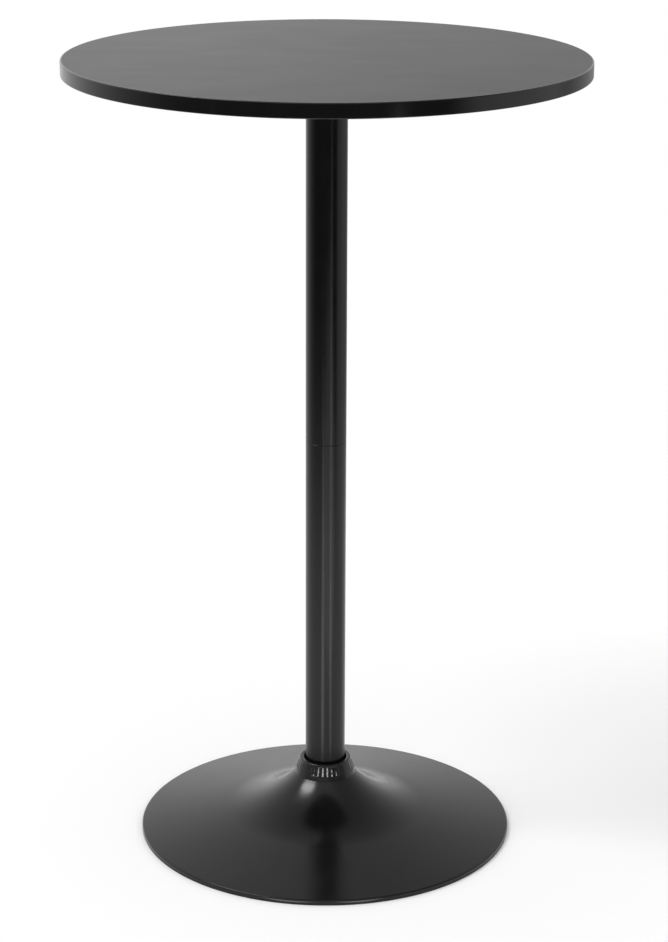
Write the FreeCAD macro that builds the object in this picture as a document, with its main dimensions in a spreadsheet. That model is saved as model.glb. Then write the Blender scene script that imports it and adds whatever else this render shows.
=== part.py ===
import FreeCAD, Part
import collections
import math
import operator
import os
import Sketcher

# Round pub table: a laminated top, a two-piece tube column and a spun steel dish.
# Millimetres and degrees, +Z up, origin on the floor under the middle of the column.

# Driving sizes, one spreadsheet cell each
SIZES = {
    # whole table
    "table_height": 1000,
    "fit_clearance": 0.05,
    "thread_clearance": 0.05,
    # tabletop
    "top_diameter": 635,
    "core_thickness": 16.6,
    "laminate_thickness": 0.7,
    "edge_band_thickness": 2,
    "edge_band_rounding": 1.4,
    "edge_band_seam": 0.4,
    "edge_band_seam_angle": -113,
    # threaded inserts in the tabletop
    "insert_diameter": 10,
    "insert_length": 11,
    "insert_hole_spare": 1,
    # mounting plate under the tabletop
    "plate_side": 170,
    "plate_thickness": 3,
    "plate_corner_radius": 16,
    "plate_bolt_spacing": 130,
    "plate_hole_clearance": 1,
    "weld_leg": 4,
    # mounting bolts and their washers
    "plate_bolt_diameter": 6,
    "plate_bolt_engagement": 8.5,
    "plate_bolt_head_flats": 10,
    "plate_bolt_head_height": 4,
    "plate_bolt_chamfer": 0.6,
    "plate_washer_diameter": 14,
    "plate_washer_thickness": 1.4,
    "plate_spring_washer_diameter": 10.6,
    "plate_spring_washer_thickness": 1.5,
    "spring_washer_gap": 14,
    # column
    "column_diameter": 50.8,
    "column_wall": 1.5,
    "lower_column_length": 457,
    "column_end_chamfer": 0.4,
    "spigot_length": 32,
    "spigot_wall": 5,
    "column_thread_diameter": 38,
    "column_thread_length": 24,
    "socket_length": 28,
    "foot_plug_length": 20,
    # base dish
    "base_diameter": 476,
    "base_sheet": 1.5,
    "base_rim_radius": 2.2,
    "base_hem_depth": 3.4,
    "base_cone_angle": 10,
    "base_flare_diameter": 258,
    "neck_diameter": 77,
    "neck_height": 74.5,
    "seat_depth": 9.5,
    "seat_clearance": 0.5,
    # floor ring
    "floor_ring_thickness": 1.2,
    "floor_ring_width": 6,
    "floor_ring_leg": 2,
    # base bolt and its washers
    "base_bolt_diameter": 12,
    "base_bolt_engagement": 15,
    "base_bolt_head_flats": 19,
    "base_bolt_head_height": 7.5,
    "base_bolt_chamfer": 1.2,
    "base_hole_clearance": 1,
    "clamp_washer_diameter": 46,
    "clamp_washer_thickness": 3,
    "base_spring_washer_diameter": 20.5,
    "base_spring_washer_thickness": 2.5,
    # collar over the base's neck
    "collar_height": 20,
    "collar_gap": 1.7,
    "collar_overhang": 0.7,
    "collar_lip_width": 6.1,
    "collar_lip_rounding": 1.8,
    "collar_skirt": 2.2,
    "collar_sleeve": 1.6,
    "window_angle": 62,
    "window_depth": 1,
    "window_foot": 5.5,
    "window_head": 0.7,
    "rib_width": 2.6,
    "rib_crest_gap": 0.15,
}

# Counts that the construction fixes
PLATE_CORNERS = 4
COLLAR_WINDOWS = 4
RIBS_PER_WINDOW = 6
HEXAGON_SIDES = 6

# Directions in which a rounded stretch of an outline bends
LEFT = 1
RIGHT = -1

FULL_TURN = 360

doc = FreeCAD.newDocument("pub_table")
sheet = doc.addObject("Spreadsheet::Sheet", "sizes")
for row, (alias, value) in enumerate(SIZES.items(), start=1):
    sheet.set(f"A{row}", alias)
    sheet.set(f"B{row}", str(value))
    sheet.setAlias(f"B{row}", alias)
doc.recompute()

ARITHMETIC = {
    "+": operator.add,
    "-": operator.sub,
    "*": operator.mul,
    "/": operator.truediv,
}


class Size:
    """A number together with the spreadsheet expression that gives it."""

    def __init__(self, number, text):
        self.number = number
        self.text = text

    def __add__(self, other):
        return combined(self, "+", other)

    def __radd__(self, other):
        return combined(other, "+", self)

    def __sub__(self, other):
        return combined(self, "-", other)

    def __rsub__(self, other):
        return combined(other, "-", self)

    def __mul__(self, other):
        return combined(self, "*", other)

    def __rmul__(self, other):
        return combined(other, "*", self)

    def __truediv__(self, other):
        return combined(self, "/", other)


def as_size(value):
    """A plain number as a Size, and a Size as it is."""
    if isinstance(value, Size):
        return value
    return Size(float(value), str(float(value)))


def combined(left, symbol, right):
    """Two sizes joined by one arithmetic sign."""
    left = as_size(left)
    right = as_size(right)
    number = ARITHMETIC[symbol](left.number, right.number)
    return Size(number, f"({left.text} {symbol} {right.text})")


def sine(angle):
    return Size(math.sin(math.radians(angle.number)), f"sin({angle.text})")


def cosine(angle):
    return Size(math.cos(math.radians(angle.number)), f"cos({angle.text})")


def root(value):
    return Size(math.sqrt(value.number), f"sqrt({value.text})")


def degrees_along(length, radius):
    """The angle that a length takes up along a circle."""
    return length / radius * math.degrees(1)


size = {alias: Size(float(value), f"sizes.{alias}") for alias, value in SIZES.items()}

# Heights and radii that several pieces share
top_thickness = size["core_thickness"] + 2 * size["laminate_thickness"]
underside_height = size["table_height"] - top_thickness
plate_underside = underside_height - size["plate_thickness"]
seat_height = size["neck_height"] - size["seat_depth"]
seam_height = seat_height + size["lower_column_length"]
dish_underside = seat_height - size["base_sheet"]

core_radius = size["top_diameter"] / 2 - size["edge_band_thickness"]
column_radius = size["column_diameter"] / 2
column_bore = column_radius - size["column_wall"]
plug_radius = column_bore - size["fit_clearance"]
plate_bolt_radius = size["plate_bolt_diameter"] / 2
plate_bolt_circle = size["plate_bolt_spacing"] / 2 * math.sqrt(2)
insert_radius = size["insert_diameter"] / 2
insert_hole_radius = insert_radius + size["fit_clearance"]
base_bolt_radius = size["base_bolt_diameter"] / 2
neck_radius = size["neck_diameter"] / 2

# A point of an outline: its distance from the axis, its height, and how the stretch
# that leads to it is rounded, if it isn't straight
Corner = collections.namedtuple("Corner", "radius height bend turn", defaults=(None, LEFT))


def bind(item, name, value):
    """Tie a property or a sketch constraint to the spreadsheet."""
    item.setExpression(name, as_size(value).text)


def new_body(label, height=None, turned_by=None):
    """An empty body whose own origin lies at a height on the table's axis."""
    body = doc.addObject("PartDesign::Body", label)
    body.Label = label
    if height is not None:
        bind(body, "Placement.Base.z", height)
    if turned_by is not None:
        body.Placement = FreeCAD.Placement(
            FreeCAD.Vector(), FreeCAD.Rotation(FreeCAD.Vector(0, 0, 1), as_size(turned_by).number)
        )
        bind(body, "Placement.Rotation.Angle", turned_by)
    return body


def origin_part(body, role):
    """One of a body's own origin planes or axes."""
    return next(feature for feature in body.Origin.OriginFeatures if feature.Role == role)


def new_sketch(body, name, plane, beside=None, above=None):
    """A sketch on an origin plane, moved along X and, on the level plane, up."""
    sketch = body.newObject("Sketcher::SketchObject", f"{body.Label}_{name}")
    sketch.AttachmentSupport = [(origin_part(body, plane), "")]
    sketch.MapMode = "FlatFace"
    if beside is not None:
        bind(sketch, "AttachmentOffset.Base.x", beside)
    if above is not None:
        bind(sketch, "AttachmentOffset.Base.z", above)
    return sketch


def constrain(sketch, kind, *where, value):
    """A sketch dimension that follows the spreadsheet."""
    value = as_size(value)
    index = sketch.addConstraint(Sketcher.Constraint(kind, *where, value.number))
    bind(sketch, f"Constraints[{index}]", value)


def place_point(sketch, line, end, across, up):
    """Fix a point by its distances from the sketch's axes."""
    for kind, axis, distance in (("DistanceX", -2, across), ("DistanceY", -1, up)):
        if distance == 0:
            sketch.addConstraint(Sketcher.Constraint("PointOnObject", line, end, axis))
        else:
            constrain(sketch, kind, -1, 1, line, end, value=distance)


def as_vector(corner):
    return FreeCAD.Vector(as_size(corner.radius).number, as_size(corner.height).number, 0)


def add_stretch(sketch, start, finish):
    """One straight or rounded stretch of an outline, and which ends it starts and finishes at."""
    first = as_vector(start)
    last = as_vector(finish)
    if finish.bend is None:
        return sketch.addGeometry(Part.LineSegment(first, last), False), 1, 2
    bend = as_size(finish.bend).number
    chord = last - first
    sideways = FreeCAD.Vector(-chord.y, chord.x, 0).normalize() * finish.turn
    middle = (first + last) / 2 + sideways * math.sqrt(bend**2 - (chord.Length / 2) ** 2)
    angles = [math.atan2(point.y - middle.y, point.x - middle.x) for point in (first, last)]
    if finish.turn == RIGHT:
        angles.reverse()
    circle = Part.Circle(middle, FreeCAD.Vector(0, 0, 1), bend)
    arc = sketch.addGeometry(Part.ArcOfCircle(circle, *angles), False)
    constrain(sketch, "Radius", arc, value=finish.bend)
    if finish.turn == RIGHT:
        return arc, 2, 1
    return arc, 1, 2


def draw_outline(sketch, corners):
    """A closed outline through corners, each of them tied to the spreadsheet."""
    stretches = [add_stretch(sketch, corners[index - 1], corners[index]) for index in range(len(corners))]
    for index, (line, start, finish) in enumerate(stretches):
        before, _, end_before = stretches[index - 1]
        sketch.addConstraint(Sketcher.Constraint("Coincident", before, end_before, line, start))
        place_point(sketch, line, finish, corners[index].radius, corners[index].height)


def draw_circle(sketch, radius, across=0, up=0):
    """A circle at a place on the sketch."""
    middle = as_vector(Corner(across, up))
    circle = sketch.addGeometry(
        Part.Circle(middle, FreeCAD.Vector(0, 0, 1), as_size(radius).number), False
    )
    constrain(sketch, "Radius", circle, value=radius)
    place_point(sketch, circle, 3, across, up)


def draw_hexagon(sketch, flats):
    """A regular hexagon around the sketch's origin, by its width across flats."""
    reach = flats / 2 / math.cos(math.pi / HEXAGON_SIDES)
    guide = sketch.addGeometry(
        Part.Circle(FreeCAD.Vector(), FreeCAD.Vector(0, 0, 1), reach.number), True
    )
    constrain(sketch, "Radius", guide, value=reach)
    place_point(sketch, guide, 3, 0, 0)
    tips = []
    for index in range(HEXAGON_SIDES):
        angle = 2 * math.pi * index / HEXAGON_SIDES
        tips.append(FreeCAD.Vector(math.cos(angle), math.sin(angle), 0) * reach.number)
    sides = [
        sketch.addGeometry(Part.LineSegment(tips[index - 1], tips[index]), False)
        for index in range(HEXAGON_SIDES)
    ]
    for index, side in enumerate(sides):
        sketch.addConstraint(Sketcher.Constraint("Coincident", sides[index - 1], 2, side, 1))
        sketch.addConstraint(Sketcher.Constraint("PointOnObject", side, 2, guide))
        if index > 0:
            sketch.addConstraint(Sketcher.Constraint("Equal", sides[0], side))
    sketch.addConstraint(Sketcher.Constraint("PointOnObject", sides[0], 2, -1))


def draw_rounded_square(sketch, side, corner_radius):
    """A square around the sketch's origin with rounded corners."""
    half = side / 2
    straight = half - corner_radius
    corners = []
    for quarter in range(PLATE_CORNERS):
        angle = 2 * math.pi * quarter / PLATE_CORNERS
        along = (round(math.cos(angle)), round(math.sin(angle)))
        across = (-along[1], along[0])
        begin = [half * along[axis] - straight * across[axis] for axis in range(2)]
        end = [half * along[axis] + straight * across[axis] for axis in range(2)]
        corners.append(Corner(begin[0], begin[1], corner_radius, LEFT))
        corners.append(Corner(end[0], end[1]))
    draw_outline(sketch, corners)


def add_feature(body, kind, name, sketch):
    """A feature of a body that is made from a sketch."""
    feature = body.newObject(f"PartDesign::{kind}", f"{body.Label}_{name}")
    feature.Profile = sketch
    return feature


def turn_profile(body, name, corners, beside=None, angle=FULL_TURN, kind="Revolution"):
    """Turn an outline about the upright axis of its sketch, adding or cutting material."""
    sketch = new_sketch(body, f"{name}_outline", "XZ_Plane", beside)
    draw_outline(sketch, corners)
    feature = add_feature(body, kind, name, sketch)
    feature.ReferenceAxis = (sketch, ["V_Axis"])
    bind(feature, "Angle", angle)
    return feature


def polar_pattern(body, name, count, angle=FULL_TURN):
    """A pattern about the body's upright axis."""
    pattern = body.newObject("PartDesign::PolarPattern", f"{body.Label}_{name}")
    pattern.Axis = (origin_part(body, "Z_Axis"), [""])
    bind(pattern, "Angle", angle)
    pattern.Occurrences = count
    return pattern


def repeat_at_corners(body, features):
    """Repeat features at the mounting plate's corners."""
    pattern = polar_pattern(body, "corners", PLATE_CORNERS)
    pattern.Originals = features
    body.Tip = pattern


def cut(body, name, sketch, depth, upwards):
    """Cut a sketch into a body and confirm that material came away."""
    doc.recompute()
    before = body.Shape.Volume
    pocket = add_feature(body, "Pocket", name, sketch)
    bind(pocket, "Length", depth)
    pocket.Reversed = upwards
    doc.recompute()
    if not body.Shape.Volume < before:
        raise ValueError(f"{body.Label}: {name} cuts nothing")
    return pocket


def rectangle(inner, outer, low, high):
    """The four corners of a straight-sided ring section."""
    return [Corner(inner, low), Corner(outer, low), Corner(outer, high), Corner(inner, high)]


def make_disc(label, height, radius, thickness):
    body = new_body(label, height)
    turn_profile(body, "disc", rectangle(0, radius, 0, thickness))
    return body


def make_ring(label, height, bore, radius, thickness):
    body = new_body(label, height)
    turn_profile(body, "ring", rectangle(bore, radius, 0, thickness))
    return body


def quarter_angle():
    """Half of the angle between the mounting plate's corners."""
    return FULL_TURN / PLATE_CORNERS / 2


def make_group(label, height):
    """A body of separate solids, one at each corner of the mounting plate."""
    body = new_body(label, height, quarter_angle())
    body.AllowCompound = True
    return body


def make_washer_group(label, height, diameter, bore, thickness, gap=None):
    """Washers on the mounting bolts, split by a gap where they are springs."""
    body = make_group(label, height)
    angle = FULL_TURN if gap is None else FULL_TURN - gap
    ring = turn_profile(body, "ring", rectangle(bore, diameter / 2, 0, thickness), plate_bolt_circle, angle)
    repeat_at_corners(body, [ring])
    return body


def bolt_outline(radius, length, flats, head_height, chamfer):
    """A bolt blank on its axis: round head from height zero, shank upwards."""
    reach = flats / 2 / math.cos(math.pi / HEXAGON_SIDES)
    return [
        Corner(0, 0),
        Corner(reach - chamfer, 0),
        Corner(reach, chamfer / 2),
        Corner(reach, head_height),
        Corner(radius, head_height),
        Corner(radius, head_height + length - chamfer),
        Corner(radius - chamfer, head_height + length),
        Corner(0, head_height + length),
    ]


def add_bolt(body, radius, length, flats, head_height, chamfer, beside=None):
    """A hexagon bolt whose head starts at the body's origin."""
    blank = turn_profile(body, "blank", bolt_outline(radius, length, flats, head_height, chamfer), beside)
    flats_sketch = new_sketch(body, "flats_outline", "XY_Plane", beside)
    draw_hexagon(flats_sketch, flats)
    draw_circle(flats_sketch, flats)
    flats_cut = cut(body, "flats", flats_sketch, head_height, upwards=True)
    return [blank, flats_cut]


def make_tabletop():
    """The board, its two faces, its edge band and the threaded inserts."""
    core = new_body("tabletop_core", underside_height + size["laminate_thickness"], quarter_angle())
    turn_profile(core, "board", rectangle(0, core_radius, 0, size["core_thickness"]))
    hole_sketch = new_sketch(core, "insert_hole_outline", "XY_Plane", plate_bolt_circle)
    draw_circle(hole_sketch, insert_hole_radius)
    hole_depth = size["insert_length"] - size["laminate_thickness"] + size["insert_hole_spare"]
    repeat_at_corners(core, [cut(core, "insert_hole", hole_sketch, hole_depth, upwards=True)])

    face_height = size["table_height"] - size["laminate_thickness"]
    face = make_disc("tabletop_laminate", face_height, core_radius, size["laminate_thickness"])

    backing = new_body("underside_laminate", underside_height, quarter_angle())
    turn_profile(backing, "sheet", rectangle(0, core_radius, 0, size["laminate_thickness"]))
    backing_sketch = new_sketch(backing, "insert_hole_outline", "XY_Plane", plate_bolt_circle)
    draw_circle(backing_sketch, insert_hole_radius)
    backing_hole = cut(backing, "insert_hole", backing_sketch, size["laminate_thickness"], upwards=True)
    repeat_at_corners(backing, [backing_hole])

    rounding = size["edge_band_rounding"]
    outer = size["top_diameter"] / 2
    band = new_body("edge_band", underside_height, size["edge_band_seam_angle"])
    band_outline = [
        Corner(core_radius, 0),
        Corner(outer - rounding, 0),
        Corner(outer, rounding, rounding, LEFT),
        Corner(outer, top_thickness - rounding),
        Corner(outer - rounding, top_thickness, rounding, LEFT),
        Corner(core_radius, top_thickness),
    ]
    turn_profile(band, "strip", band_outline, angle=FULL_TURN - degrees_along(size["edge_band_seam"], outer))

    inserts = make_group("threaded_inserts", underside_height)
    thread_bore = plate_bolt_radius + size["thread_clearance"]
    insert_outline = rectangle(thread_bore, insert_radius, 0, size["insert_length"])
    repeat_at_corners(inserts, [turn_profile(inserts, "insert", insert_outline, plate_bolt_circle)])
    return [core, face, backing, band, inserts]


def make_mounting_plate():
    """The square plate under the top, its weld to the column, its bolts and washers."""
    plate = new_body("mounting_plate", plate_underside)
    plate_sketch = new_sketch(plate, "plate_outline", "XY_Plane")
    draw_rounded_square(plate_sketch, size["plate_side"], size["plate_corner_radius"])
    pad = add_feature(plate, "Pad", "pad", plate_sketch)
    bind(pad, "Length", size["plate_thickness"])
    hole_radius = plate_bolt_radius + size["plate_hole_clearance"] / 2
    hole_sketch = new_sketch(plate, "bolt_hole_outline", "XY_Plane")
    half_spacing = size["plate_bolt_spacing"] / 2
    draw_circle(hole_sketch, hole_radius, half_spacing, half_spacing)
    repeat_at_corners(plate, [cut(plate, "bolt_hole", hole_sketch, size["plate_thickness"], upwards=True)])

    leg = size["weld_leg"]
    weld = new_body("mounting_plate_weld", plate_underside - leg)
    weld_outline = [
        Corner(column_radius, 0),
        Corner(column_radius + leg, leg, leg * math.sqrt(2), RIGHT),
        Corner(column_radius, leg),
    ]
    turn_profile(weld, "bead", weld_outline)

    flat_height = plate_underside - size["plate_washer_thickness"]
    spring_height = flat_height - size["plate_spring_washer_thickness"]
    washer_bore = plate_bolt_radius + size["plate_hole_clearance"] / 4
    flat_washers = make_washer_group(
        "mounting_bolt_washers",
        flat_height,
        size["plate_washer_diameter"],
        washer_bore,
        size["plate_washer_thickness"],
    )
    spring_washers = make_washer_group(
        "mounting_bolt_spring_washers",
        spring_height,
        size["plate_spring_washer_diameter"],
        washer_bore,
        size["plate_spring_washer_thickness"],
        size["spring_washer_gap"],
    )

    bolts = make_group("mounting_bolts", spring_height - size["plate_bolt_head_height"])
    bolt_length = underside_height - spring_height + size["plate_bolt_engagement"]
    bolt_features = add_bolt(
        bolts,
        plate_bolt_radius,
        bolt_length,
        size["plate_bolt_head_flats"],
        size["plate_bolt_head_height"],
        size["plate_bolt_chamfer"],
        plate_bolt_circle,
    )
    repeat_at_corners(bolts, bolt_features)
    return [plate, weld, flat_washers, spring_washers, bolts]


def make_column():
    """The two tubes, the screwed joint between them and the plug in the foot."""
    chamfer = size["column_end_chamfer"]
    lower_length = size["lower_column_length"]
    lower = new_body("lower_column", seat_height)
    lower_outline = [
        Corner(column_bore, 0),
        Corner(column_radius, 0),
        Corner(column_radius, lower_length - chamfer),
        Corner(column_radius - chamfer, lower_length),
        Corner(column_bore, lower_length),
    ]
    turn_profile(lower, "tube", lower_outline)

    upper_length = plate_underside - seam_height
    upper = new_body("upper_column", seam_height)
    upper_outline = [
        Corner(column_bore, 0),
        Corner(column_radius - chamfer, 0),
        Corner(column_radius, chamfer),
        Corner(column_radius, upper_length),
        Corner(column_bore, upper_length),
    ]
    turn_profile(upper, "tube", upper_outline)

    thread_radius = size["column_thread_diameter"] / 2
    spigot_bore = thread_radius - size["spigot_wall"]
    spigot_length = size["spigot_length"]
    spigot_reach = spigot_length + size["column_thread_length"]
    spigot = new_body("column_spigot", seam_height - spigot_length)
    spigot_outline = [
        Corner(spigot_bore, 0),
        Corner(plug_radius, 0),
        Corner(plug_radius, spigot_length),
        Corner(thread_radius, spigot_length),
        Corner(thread_radius, spigot_reach),
        Corner(spigot_bore, spigot_reach),
    ]
    turn_profile(spigot, "stud", spigot_outline)

    socket_bore = thread_radius + size["thread_clearance"]
    socket = make_ring("column_socket", seam_height, socket_bore, plug_radius, size["socket_length"])

    plug_bore = base_bolt_radius + size["thread_clearance"]
    plug = make_ring("column_foot_plug", seat_height, plug_bore, plug_radius, size["foot_plug_length"])
    return [lower, upper, spigot, socket, plug]


def make_base():
    """The spun dish with the seat pressed into its neck, its floor ring and its bolt."""
    sheet_thickness = size["base_sheet"]
    rim = size["base_rim_radius"]
    slope_sine = sine(size["base_cone_angle"])
    slope_cosine = cosine(size["base_cone_angle"])
    base_radius = size["base_diameter"] / 2
    hem_height = size["floor_ring_thickness"]
    rim_middle_radius = base_radius - rim
    rim_middle_height = hem_height + size["base_hem_depth"]

    def cone_point(radius, offset):
        """The height of the cone at a radius, on a surface at an offset from the rim's middle."""
        rise = offset - (radius - rim_middle_radius) * slope_sine
        return Corner(radius, rim_middle_height + rise / slope_cosine)

    def rim_point(offset, **rounded):
        """Where the rim's rounding meets the cone."""
        return Corner(
            rim_middle_radius + offset * slope_sine, rim_middle_height + offset * slope_cosine, **rounded
        )

    flare_start = cone_point(size["base_flare_diameter"] / 2, rim)
    neck = Corner(neck_radius, size["neck_height"])
    run = flare_start.radius - neck.radius
    climb = neck.height - flare_start.height
    above_cone = climb * slope_cosine - run * slope_sine
    flare = (run * run + climb * climb) / (2 * above_cone)
    flare_middle_radius = flare_start.radius + flare * slope_sine
    flare_middle_height = flare_start.height + flare * slope_cosine
    inner_flare = flare + sheet_thickness
    shelf_underside = size["neck_height"] - sheet_thickness
    drop = flare_middle_height - shelf_underside
    inner_neck_radius = flare_middle_radius - root(inner_flare * inner_flare - drop * drop)
    hole = base_bolt_radius + size["base_hole_clearance"] / 2
    seat_radius = column_radius + size["seat_clearance"]

    dish = new_body("base_dish")
    dish_outline = [
        Corner(hole, seat_height),
        Corner(seat_radius, seat_height),
        Corner(seat_radius, size["neck_height"]),
        neck,
        flare_start._replace(bend=flare, turn=LEFT),
        rim_point(rim),
        Corner(base_radius, rim_middle_height, rim, RIGHT),
        Corner(base_radius, hem_height),
        Corner(base_radius - sheet_thickness, hem_height),
        Corner(base_radius - sheet_thickness, rim_middle_height),
        rim_point(rim - sheet_thickness, bend=rim - sheet_thickness, turn=LEFT),
        Corner(
            flare_start.radius - sheet_thickness * slope_sine,
            flare_start.height - sheet_thickness * slope_cosine,
        ),
        Corner(inner_neck_radius, shelf_underside, inner_flare, RIGHT),
        Corner(seat_radius + sheet_thickness, shelf_underside),
        Corner(seat_radius + sheet_thickness, dish_underside),
        Corner(hole, dish_underside),
    ]
    turn_profile(dish, "shell", dish_outline)

    leg_outer = base_radius - sheet_thickness - size["fit_clearance"]
    leg_inner = leg_outer - size["floor_ring_leg"]
    ring = new_body("floor_ring")
    ring_outline = [
        Corner(base_radius - size["floor_ring_width"], 0),
        Corner(base_radius, 0),
        Corner(base_radius, hem_height),
        Corner(leg_outer, hem_height),
        Corner(leg_outer, rim_middle_height),
        Corner(leg_inner, rim_middle_height),
        Corner(leg_inner, hem_height),
        Corner(base_radius - size["floor_ring_width"], hem_height),
    ]
    turn_profile(ring, "ring", ring_outline)

    clamp_height = dish_underside - size["clamp_washer_thickness"]
    spring_height = clamp_height - size["base_spring_washer_thickness"]
    washer_bore = base_bolt_radius + size["base_hole_clearance"] / 4
    clamp_washer = make_ring(
        "base_clamp_washer",
        clamp_height,
        washer_bore,
        size["clamp_washer_diameter"] / 2,
        size["clamp_washer_thickness"],
    )
    spring_washer = new_body("base_spring_washer", spring_height)
    spring_outline = rectangle(
        washer_bore, size["base_spring_washer_diameter"] / 2, 0, size["base_spring_washer_thickness"]
    )
    turn_profile(spring_washer, "ring", spring_outline, angle=FULL_TURN - size["spring_washer_gap"])

    bolt = new_body("base_bolt", spring_height - size["base_bolt_head_height"])
    add_bolt(
        bolt,
        base_bolt_radius,
        seat_height - spring_height + size["base_bolt_engagement"],
        size["base_bolt_head_flats"],
        size["base_bolt_head_height"],
        size["base_bolt_chamfer"],
    )
    return [dish, ring, clamp_washer, spring_washer, bolt]


def make_collar():
    """The moulded collar that hides the seat, with ribbed grip windows round its skirt."""
    collar_height = size["collar_height"]
    rounding = size["collar_lip_rounding"]
    skirt = size["collar_skirt"]
    bore = column_radius + size["collar_gap"]
    lip = bore + size["collar_lip_width"]
    foot = neck_radius + size["collar_overhang"]
    shoulder = collar_height - rounding
    roof = collar_height - skirt

    def skirt_radius(height, inset=0):
        """The skirt's radius at a height, less an inset."""
        return foot - (foot - lip) * height / shoulder - inset

    collar = new_body("base_collar", size["neck_height"])
    collar_outline = [
        Corner(foot - skirt, 0),
        Corner(foot, 0),
        Corner(lip, shoulder),
        Corner(lip - rounding, collar_height, rounding, LEFT),
        Corner(bore + rounding, collar_height),
        Corner(bore, shoulder, rounding, LEFT),
        Corner(bore, 0),
        Corner(bore + size["collar_sleeve"], 0),
        Corner(bore + size["collar_sleeve"], roof),
        Corner(skirt_radius(roof, skirt), roof),
    ]
    turn_profile(collar, "shell", collar_outline)
    doc.recompute()
    whole = collar.Shape.Volume

    window_low = size["window_foot"]
    window_high = shoulder - size["window_head"]
    depth = size["window_depth"]

    def upright_strip(inner_inset, outer_inset):
        """A section of the window between two insets from the skirt's surface."""
        return [
            Corner(skirt_radius(window_low, inner_inset), window_low),
            Corner(skirt_radius(window_low, outer_inset), window_low),
            Corner(skirt_radius(window_high, outer_inset), window_high),
            Corner(skirt_radius(window_high, inner_inset), window_high),
        ]

    window = turn_profile(
        collar, "window", upright_strip(depth, 0 - depth), angle=size["window_angle"], kind="Groove"
    )
    window.Midplane = True
    windows = polar_pattern(collar, "windows", COLLAR_WINDOWS)
    windows.Originals = [window]
    collar.Tip = windows
    doc.recompute()
    if not collar.Shape.Volume < whole:
        raise ValueError("base_collar: the windows cut nothing")

    rib_pitch = size["window_angle"] / (RIBS_PER_WINDOW + 0.5)
    rib_spread = rib_pitch * (RIBS_PER_WINDOW - 1)
    rib_angle = degrees_along(size["rib_width"], foot)
    rib_section = upright_strip(depth * 1.5, size["rib_crest_gap"])
    rib = turn_profile(collar, "rib", rib_section, angle=rib_angle)
    rib.Midplane = True
    rib_sketch = rib.Profile[0]
    rib_sketch.AttachmentOffset = FreeCAD.Placement(
        FreeCAD.Vector(), FreeCAD.Rotation(FreeCAD.Vector(0, 1, 0), rib_spread.number / -2)
    )
    bind(rib_sketch, "AttachmentOffset.Rotation.Angle", rib_spread / -2)
    ribs = collar.newObject("PartDesign::MultiTransform", "base_collar_ribs")
    ribs.Originals = [rib]
    ribs.Transformations = [
        polar_pattern(collar, "ribs_in_window", RIBS_PER_WINDOW, rib_spread),
        polar_pattern(collar, "ribs_in_windows", COLLAR_WINDOWS),
    ]
    collar.Tip = ribs
    return [collar]


sub_parts = make_tabletop() + make_mounting_plate() + make_column() + make_base() + make_collar()
doc.recompute()

for item in doc.Objects:
    if "Invalid" in item.State or "Error" in item.State:
        raise ValueError(f"{item.Label} failed: {item.State}")
for sub_part in sub_parts:
    if sub_part.Shape.isNull() or not sub_part.Shape.isValid():
        raise ValueError(f"{sub_part.Label} has no valid shape")

os.makedirs("parts", exist_ok=True)
for sub_part in sub_parts:
    sub_part.Shape.exportStep(os.path.join("parts", f"{sub_part.Label}.step"))
    box = sub_part.Shape.BoundBox
    print(
        f"{sub_part.Label}: {len(sub_part.Shape.Solids)} solids, {sub_part.Shape.Volume:.1f} mm3,"
        f" height {box.ZMin:.2f} to {box.ZMax:.2f}, width {box.XLength:.2f}"
    )
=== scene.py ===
import logging
import math
from dataclasses import dataclass
from enum import Enum
from functools import cached_property
from typing import Mapping, Optional, Sequence, Union

import bmesh
import bpy
from mathutils import Matrix, Quaternion, Vector


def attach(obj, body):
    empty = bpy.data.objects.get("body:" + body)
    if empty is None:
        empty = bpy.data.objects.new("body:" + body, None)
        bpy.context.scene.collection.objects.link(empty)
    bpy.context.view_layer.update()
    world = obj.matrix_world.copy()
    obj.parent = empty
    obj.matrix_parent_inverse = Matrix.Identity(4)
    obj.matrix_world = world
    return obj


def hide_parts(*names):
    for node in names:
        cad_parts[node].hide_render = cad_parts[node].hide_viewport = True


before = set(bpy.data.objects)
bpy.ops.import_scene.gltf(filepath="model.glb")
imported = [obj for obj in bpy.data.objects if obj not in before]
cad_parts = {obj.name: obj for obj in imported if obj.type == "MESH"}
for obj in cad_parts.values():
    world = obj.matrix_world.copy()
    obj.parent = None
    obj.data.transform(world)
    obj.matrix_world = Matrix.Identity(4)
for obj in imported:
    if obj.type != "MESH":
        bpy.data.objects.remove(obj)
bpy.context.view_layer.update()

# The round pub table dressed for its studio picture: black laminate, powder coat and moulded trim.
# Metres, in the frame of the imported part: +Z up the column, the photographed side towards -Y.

log = logging.getLogger("pub_table")

MM = 0.001
FULL_TURN = 2 * math.pi
QUARTER_TURN = math.pi / 2
TOLERANCE = 1e-9
CREASE_ANGLE = math.radians(40)
# Name of the mesh value that marks the rib crests which get painted glints.
PAINTED_GLINT_LAYER = "rib_crest"

Socket = bpy.types.NodeSocket
Feed = Union[Socket, float, Sequence[float]]
Point = tuple[float, float]
Span = tuple[float, float]
Place = tuple[float, float, float]
Colour = tuple[float, float, float]
Stretch = tuple[float, float, float]

MID_NOISE: Span = (0.35, 0.65)
WIDE_NOISE: Span = (0.3, 0.7)


class Turn(Enum):
    """The way a rounded stretch of an outline bends, seen along its run."""

    LEFT = 1
    RIGHT = -1


class Body(Enum):
    """The rigid bodies that pieces ride on."""

    TABLE = "table"
    COLLAR = "collar"


class Slot(Enum):
    """The record's material slots."""

    FIBREBOARD = "fibreboard"
    LAMINATE = "black_laminate"
    EDGE_BAND = "black_edge_band"
    POWDER_COAT = "black_powder_coat"
    GLOSS_PLASTIC = "black_gloss_plastic"
    FLOOR_RING = "black_floor_ring"
    ZINC = "zinc_steel"
    TURNED_STEEL = "turned_steel"


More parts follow.
